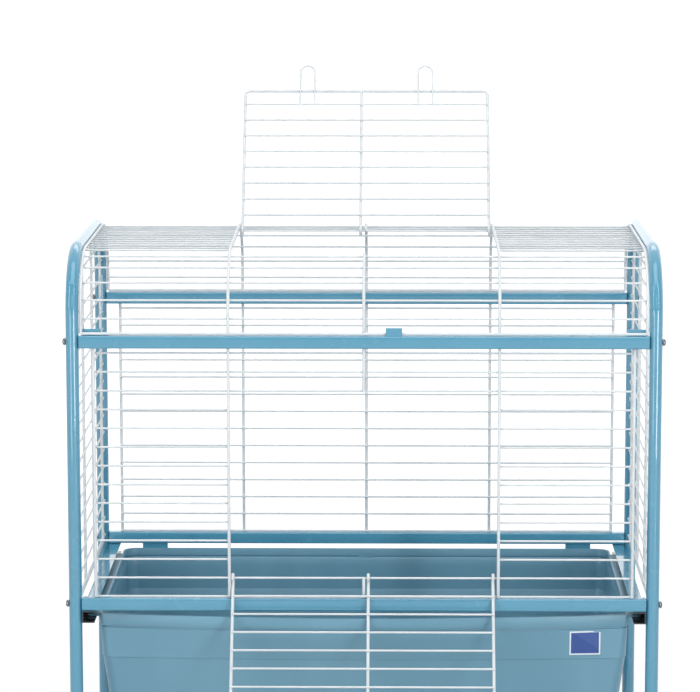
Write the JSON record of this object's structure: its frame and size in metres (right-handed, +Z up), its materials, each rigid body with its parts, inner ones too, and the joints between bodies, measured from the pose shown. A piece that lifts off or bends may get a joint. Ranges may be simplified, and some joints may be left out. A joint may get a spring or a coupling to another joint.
{
  "type": "ferret cage",
  "caption": "Wheeled wire cage on two bent tube hoops, with a roof door and a front door that stand open, and a deep litter pan hung below.",
  "frame": {"origin": "on the floor, under the middle of the whole cage's box with both doors open", "axes": "+X to the cage's right seen from the front, +Y to the back, +Z up"},
  "size_m": [0.7244, 0.5612, 0.9696],
  "materials": {
    "frame_paint": "gloss powder coat, teal blue",
    "wire_coat": "gloss powder coat, white",
    "screw_chrome": "polished",
    "pan_plastic": "fine satin moulding, teal blue",
    "label": "plain blue label with a white border",
    "socket_plastic": "moulded black",
    "caster_zinc": "zinc plated",
    "wheel_plastic": "moulded black"
  },
  "bodies": {
    "frame": {"left_hoop": "frame_paint", "right_hoop": "frame_paint", "front_top_rail": "frame_paint", "front_bottom_rail": "frame_paint", "rear_top_rail": "frame_paint", "rear_bottom_rail": "frame_paint", "front_top_rail_screw_left": "screw_chrome", "front_top_rail_screw_right": "screw_chrome", "front_bottom_rail_screw_left": "screw_chrome", "front_bottom_rail_screw_right": "screw_chrome", "rear_top_rail_screw_left": "screw_chrome", "rear_top_rail_screw_right": "screw_chrome", "rear_bottom_rail_screw_left": "screw_chrome", "rear_bottom_rail_screw_right": "screw_chrome", "left_channel": "frame_paint", "right_channel": "frame_paint", "top_shell": "wire_coat", "front_panel": "wire_coat", "rear_panel": "wire_coat", "left_side_panel": "wire_coat", "right_side_panel": "wire_coat", "litter_pan": "pan_plastic", "pan_label": "label", "leg_socket_front_left": "socket_plastic", "caster_stem_front_left": "caster_zinc", "leg_socket_front_right": "socket_plastic", "caster_stem_front_right": "caster_zinc", "leg_socket_rear_left": "socket_plastic", "caster_stem_rear_left": "caster_zinc", "leg_socket_rear_right": "socket_plastic", "caster_stem_rear_right": "caster_zinc"},
    "front_door": {"front_door": "wire_coat"},
    "roof_door": {"roof_door": "wire_coat"},
    "caster_swivel_front_left": {"caster_fork_front_left": "caster_zinc", "caster_axle_front_left": "caster_zinc"},
    "caster_roller_front_left": {"caster_wheel_front_left": "wheel_plastic"},
    "caster_swivel_front_right": {"caster_fork_front_right": "caster_zinc", "caster_axle_front_right": "caster_zinc"},
    "caster_roller_front_right": {"caster_wheel_front_right": "wheel_plastic"},
    "caster_swivel_rear_left": {"caster_fork_rear_left": "caster_zinc", "caster_axle_rear_left": "caster_zinc"},
    "caster_roller_rear_left": {"caster_wheel_rear_left": "wheel_plastic"},
    "caster_swivel_rear_right": {"caster_fork_rear_right": "caster_zinc", "caster_axle_rear_right": "caster_zinc"},
    "caster_roller_rear_right": {"caster_wheel_rear_right": "wheel_plastic"}
  },
  "joints": [
    {"name": "front_door_hinge", "type": "hinge", "parent": "frame", "child": "front_door", "pos_m": [-0.001, -0.15199, 0.37695], "axis": [-1, 0, 0], "range_deg": [0, 147.2]},
    {"name": "roof_door_hinge", "type": "hinge", "parent": "frame", "child": "roof_door", "pos_m": [0, 0.1226, 0.7674], "axis": [1, 0, 0], "range_deg": [0, 123.4]},
    {"name": "caster_swivel_front_left", "type": "hinge", "parent": "frame", "child": "caster_swivel_front_left", "pos_m": [-0.349, -0.15284, 0.06], "axis": [0, 0, 1], "continuous": true},
    {"name": "caster_roll_front_left", "type": "hinge", "parent": "caster_swivel_front_left", "child": "caster_roller_front_left", "pos_m": [-0.349, -0.13484, 0.025], "axis": [1, 0, 0], "continuous": true},
    {"name": "caster_swivel_front_right", "type": "hinge", "parent": "frame", "child": "caster_swivel_front_right", "pos_m": [0.349, -0.15284, 0.06], "axis": [0, 0, 1], "continuous": true},
    {"name": "caster_roll_front_right", "type": "hinge", "parent": "caster_swivel_front_right", "child": "caster_roller_front_right", "pos_m": [0.349, -0.13484, 0.025], "axis": [1, 0, 0], "continuous": true},
    {"name": "caster_swivel_rear_left", "type": "hinge", "parent": "frame", "child": "caster_swivel_rear_left", "pos_m": [-0.349, 0.23756, 0.06], "axis": [0, 0, 1], "continuous": true},
    {"name": "caster_roll_rear_left", "type": "hinge", "parent": "caster_swivel_rear_left", "child": "caster_roller_rear_left", "pos_m": [-0.349, 0.25556, 0.025], "axis": [1, 0, 0], "continuous": true},
    {"name": "caster_swivel_rear_right", "type": "hinge", "parent": "frame", "child": "caster_swivel_rear_right", "pos_m": [0.349, 0.23756, 0.06], "axis": [0, 0, 1], "continuous": true},
    {"name": "caster_roll_rear_right", "type": "hinge", "parent": "caster_swivel_rear_right", "child": "caster_roller_rear_right", "pos_m": [0.349, 0.25556, 0.025], "axis": [1, 0, 0], "continuous": true}
  ]
}
